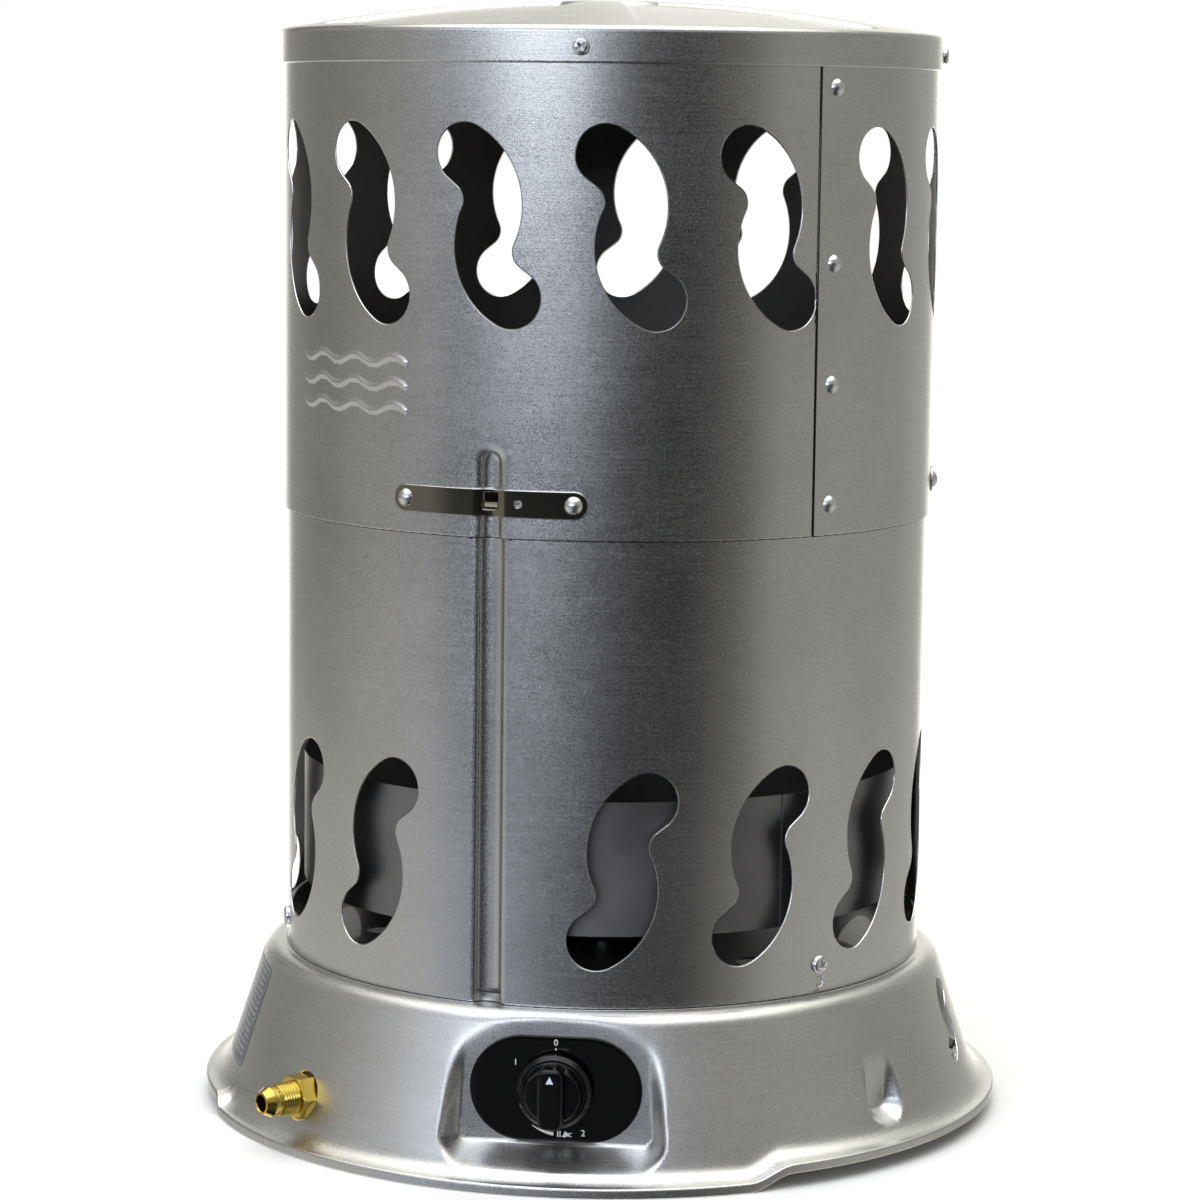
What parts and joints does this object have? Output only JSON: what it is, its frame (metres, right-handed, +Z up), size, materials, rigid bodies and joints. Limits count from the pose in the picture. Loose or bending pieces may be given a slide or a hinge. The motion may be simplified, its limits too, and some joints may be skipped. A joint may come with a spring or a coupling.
{
  "type": "portable propane heater",
  "caption": "Portable propane heater: louvred round sheet-steel drum with a telescoping hood on a stamped base, with a gas inlet, push-and-turn knob and burner.",
  "frame": {"origin": "on the drum's axis at ground level", "axes": "+Z up along the drum's axis, -Y towards the front with the control knob, +X to the right seen from the front"},
  "size_m": [0.3958, 0.396, 0.5416],
  "materials": {
    "galvanised_sheet": "bare coated sheet steel, satin with fine grain",
    "aluminised_sheet": "aluminised sheet steel, dull, heat tinted",
    "bracket_steel": "zinc-plated pressed steel, satin",
    "zinc_hardware": "bright zinc-plated steel",
    "dark_nickel": "dark polished nickel plate",
    "spring_steel": "bright plated spring steel",
    "gloss_black": "gloss black",
    "pointer_print": "pale blue print",
    "label_film": "dark grey film label, blank",
    "brass": "machined yellow brass",
    "copper_tube": "drawn copper tube",
    "cast_burner": "cast iron, dark",
    "burner_sheet": "stainless sheet, heat stained",
    "pan_enamel": "dark heat-proof enamel",
    "stem_metal": "nickel-plated brass"
  },
  "bodies": {
    "base": {"base_pan": "galvanised_sheet", "rating_label": "label_film", "lower_shell": "galvanised_sheet", "base_screws": "zinc_hardware", "burner_pan": "pan_enamel", "heat_shield": "aluminised_sheet", "burner_bowl": "cast_burner", "burner_cap": "burner_sheet", "burner_bolts": "zinc_hardware", "mixer_tube": "cast_burner", "jet_bracket": "bracket_steel", "jet_holder": "brass", "gas_jet": "brass", "supply_pipe": "copper_tube", "supply_nuts": "brass", "inlet_fitting": "brass", "inlet_bracket": "bracket_steel", "inlet_locknut": "brass", "inlet_pipe": "copper_tube", "inlet_nuts": "brass", "valve_body": "brass", "valve_bracket": "bracket_steel", "bracket_screws": "zinc_hardware", "magnet_unit": "zinc_hardware", "bonnet_nut": "zinc_hardware", "thermocouple": "stem_metal", "thermocouple_bracket": "bracket_steel", "thermocouple_lead": "copper_tube", "control_plate": "gloss_black"},
    "hood": {"upper_shell": "galvanised_sheet", "seam_rivets": "zinc_hardware", "latch_straps": "dark_nickel", "latch_rivets": "zinc_hardware", "lid": "galvanised_sheet", "lid_screws": "zinc_hardware", "lid_baffle": "aluminised_sheet", "baffle_posts": "bracket_steel", "baffle_rivets": "zinc_hardware"},
    "catch_front": {"catch_front": "spring_steel"},
    "catch_right": {"catch_right": "spring_steel"},
    "catch_back": {"catch_back": "spring_steel"},
    "plunger": {"valve_plunger": "zinc_hardware"},
    "knob": {"valve_stem": "stem_metal", "control_knob": "gloss_black", "knob_pointer": "pointer_print"}
  },
  "joints": [
    {"name": "hood_slide", "type": "slide", "parent": "base", "child": "hood", "axis": [0, 0, 1], "range_m": [-0.195, 0]},
    {"name": "catch_front_slide", "type": "slide", "parent": "hood", "child": "catch_front", "axis": [0.3338, 0.9426, 0], "range_m": [0, 0.0025]},
    {"name": "catch_right_slide", "type": "slide", "parent": "hood", "child": "catch_right", "axis": [-0.9833, -0.1822, 0], "range_m": [0, 0.0025]},
    {"name": "catch_back_slide", "type": "slide", "parent": "hood", "child": "catch_back", "axis": [0.6494, -0.7604, 0], "range_m": [0, 0.0025]},
    {"name": "knob_push", "type": "slide", "parent": "base", "child": "plunger", "axis": [0.1219, 0.9925, 0], "range_m": [0, 0.003], "stiffness_N_per_m": 3000},
    {"name": "knob_turn", "type": "hinge", "parent": "plunger", "child": "knob", "pos_m": [-0.02023, -0.16476, 0.0425], "axis": [-0.1219, -0.9925, 0], "range_deg": [0, 205]}
  ]
}
